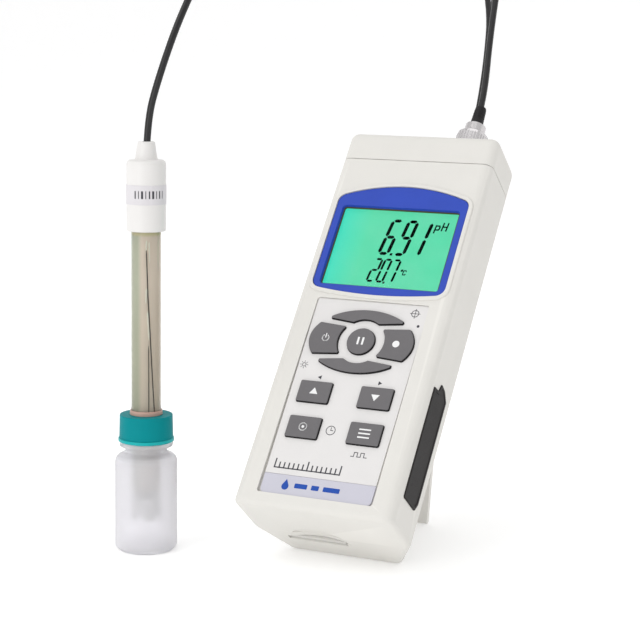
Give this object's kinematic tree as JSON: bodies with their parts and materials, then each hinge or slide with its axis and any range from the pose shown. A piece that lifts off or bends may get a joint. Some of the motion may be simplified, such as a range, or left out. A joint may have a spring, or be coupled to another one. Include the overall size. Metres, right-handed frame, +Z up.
{
  "type": "handheld pH meter with probe",
  "caption": "Handheld water-quality meter leaning on its fold-out stand, joined by a thin cable to an upright pH probe standing in its small storage bottle.",
  "frame": {"origin": "on the surface that it stands on, under the middle of the meter and the bottle together", "axes": "+Z up, -Y the way the display faces, +X to the right of someone facing the display"},
  "size_m": [0.1238, 0.2485, 0.2727],
  "materials": {
    "white_housing": "fine spark-textured off-white ABS",
    "blue_bezel": "satin blue",
    "clear_lens": "clear polished acrylic",
    "lcd_glass": "lit green liquid crystal",
    "key_panel": "printed polyester",
    "band_panel": "printed lilac grey",
    "key_rubber": "silicone, dark grey",
    "cover_rubber": "soft black rubber",
    "circuit": "green circuit board",
    "dark_part": "black moulded",
    "steel": "zinc-plated",
    "cells": "wrapped alkaline cells",
    "brass": "turned brass",
    "nickel": "nickel-plated",
    "probe_white": "white moulded cap",
    "label_film": "grey label film",
    "probe_glass": "olive-grey clear body",
    "epoxy": "potting resin",
    "silver": "silver wire",
    "teal_plastic": "teal moulded",
    "salmon_rubber": "silicone ring",
    "bottle_plastic": "milky polyethylene",
    "cord_jacket": "black PVC jacket"
  },
  "bodies": {
    "instrument": {"battery_cells": "cells", "battery_contacts": "steel", "bnc_contact": "brass", "bnc_plug_body": "nickel", "bnc_plug_pin": "brass", "bnc_socket": "nickel", "bnc_socket_nut": "nickel", "bottle": "bottle_plastic", "buzzer": "dark_part", "cable_boot": "cover_rubber", "cable_coil": "cord_jacket", "cable_meter_run": "cord_jacket", "cable_probe_run": "cord_jacket", "card_board": "circuit", "card_socket": "steel", "case_screws": "steel", "crescent_trims": "key_rubber", "display_bezel": "blue_bezel", "display_lens": "clear_lens", "front_housing": "white_housing", "keypad_mat": "key_rubber", "keypad_panel": "key_panel", "lcd_backlight": "lcd_glass", "lcd_panel": "lcd_glass", "main_board": "circuit", "name_band": "band_panel", "power_jack": "dark_part", "rear_housing": "white_housing", "reset_switch": "dark_part", "serial_jack": "dark_part", "stand_pin": "steel", "temperature_jack": "dark_part", "top_cover": "white_housing", "tripod_nut": "brass"},
    "key_down": {"key_down": "key_rubber"},
    "key_hold": {"key_hold": "key_rubber"},
    "key_log": {"key_log": "key_rubber"},
    "key_power": {"key_power": "key_rubber"},
    "key_record": {"key_record": "key_rubber"},
    "key_set": {"key_set": "key_rubber"},
    "key_up": {"key_up": "key_rubber"},
    "reset_button": {"reset_button": "dark_part"},
    "stand": {"stand": "white_housing"},
    "side_cover": {"side_cover": "cover_rubber"},
    "battery_cover": {"battery_cover": "white_housing", "battery_cover_screws": "steel"},
    "memory_card": {"memory_card": "dark_part"},
    "coupling_nut": {"bnc_coupling_nut": "nickel"},
    "seal": {"seal_ring": "salmon_rubber"},
    "bottle_cap": {"bottle_cap": "teal_plastic"},
    "probe": {"probe_cap": "probe_white", "probe_label": "label_film", "probe_tube": "probe_glass", "tip_guard": "probe_glass", "probe_stopper": "epoxy", "glass_stem": "probe_glass", "sensing_bulb": "probe_glass", "silver_wire": "silver", "reference_wire": "silver", "junction_plug": "epoxy"}
  },
  "joints": [
    {"name": "press_down", "type": "slide", "parent": "instrument", "child": "key_down", "axis": [0, 0.7902, -0.6129], "range_m": [0, 0.0008], "stiffness_N_per_m": 600},
    {"name": "press_hold", "type": "slide", "parent": "instrument", "child": "key_hold", "axis": [0, 0.7902, -0.6129], "range_m": [0, 0.0008], "stiffness_N_per_m": 600},
    {"name": "press_log", "type": "slide", "parent": "instrument", "child": "key_log", "axis": [0, 0.7902, -0.6129], "range_m": [0, 0.0008], "stiffness_N_per_m": 600},
    {"name": "press_power", "type": "slide", "parent": "instrument", "child": "key_power", "axis": [0, 0.7902, -0.6129], "range_m": [0, 0.0008], "stiffness_N_per_m": 600},
    {"name": "press_record", "type": "slide", "parent": "instrument", "child": "key_record", "axis": [0, 0.7902, -0.6129], "range_m": [0, 0.0008], "stiffness_N_per_m": 600},
    {"name": "press_set", "type": "slide", "parent": "instrument", "child": "key_set", "axis": [0, 0.7902, -0.6129], "range_m": [0, 0.0008], "stiffness_N_per_m": 600},
    {"name": "press_up", "type": "slide", "parent": "instrument", "child": "key_up", "axis": [0, 0.7902, -0.6129], "range_m": [0, 0.0008], "stiffness_N_per_m": 600},
    {"name": "press_reset", "type": "slide", "parent": "instrument", "child": "reset_button", "axis": [-1, 0, 0], "range_m": [0, 0.0006], "stiffness_N_per_m": 600},
    {"name": "stand_fold", "type": "hinge", "parent": "instrument", "child": "stand", "pos_m": [0.02697, 0.01151, 0.05924], "axis": [1, 0, 0], "range_deg": [-52, 0]},
    {"name": "side_cover_open", "type": "hinge", "parent": "instrument", "child": "side_cover", "pos_m": [0.06153, -0.02851, 0.04598], "axis": [0, 0.6129, 0.7902], "range_deg": [0, 110]},
    {"name": "battery_cover_off", "type": "slide", "parent": "instrument", "child": "battery_cover", "axis": [0, 0.7902, -0.6129], "range_m": [0, 0.012]},
    {"name": "card_eject", "type": "slide", "parent": "instrument", "child": "memory_card", "axis": [0, -0.6129, -0.7902], "range_m": [0, 0.0045]},
    {"name": "coupling_nut_turn", "type": "hinge", "parent": "instrument", "child": "coupling_nut", "pos_m": [0.03918, 0.05948, 0.15517], "axis": [0, 0.6129, 0.7902], "range_deg": [0, 90]},
    {"name": "bottle_cap_rise", "type": "slide", "parent": "instrument", "child": "seal", "axis": [0, 0, 1], "range_m": [0, 0.006]},
    {"name": "bottle_cap_turn", "type": "hinge", "parent": "seal", "child": "bottle_cap", "pos_m": [-0.04942, -0.06179, 0.0447], "axis": [0, 0, 1], "range_deg": [0, 720.5]},
    {"name": "probe_lift", "type": "slide", "parent": "instrument", "child": "probe", "axis": [0, 0, 1], "range_m": [0, 0.05], "deforming": ["cable_probe_run"]}
  ],
  "couplings": [
    {"joint": "bottle_cap_turn", "follows": "bottle_cap_rise", "rad_per_m": 2094.4}
  ]
}
